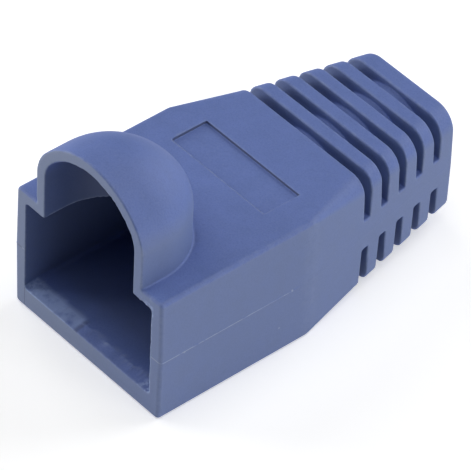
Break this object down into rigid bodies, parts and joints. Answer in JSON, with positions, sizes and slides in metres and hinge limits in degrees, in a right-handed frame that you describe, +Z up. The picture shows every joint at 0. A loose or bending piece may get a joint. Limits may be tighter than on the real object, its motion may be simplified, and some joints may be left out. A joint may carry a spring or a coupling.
{
  "type": "rj45 strain relief boot",
  "caption": "Soft moulded boot for a modular plug: rectangular sleeve, domed latch hood, bare label recess and a slotted tapering tail round a cable bore.",
  "frame": {"origin": "on the cable's axis in the plane of the plug socket's mouth, at the height of the mould's parting plane", "axes": "+Y along the cable from the mouth to the tail, +Z up to the latch hood, +X to the right seen from the mouth"},
  "size_m": [0.0138, 0.026, 0.0158],
  "materials": {
    "boot_pvc": "soft blue PVC, satin, faintly mottled"
  },
  "bodies": {
    "root": {"boot": "boot_pvc"}
  },
  "joints": []
}
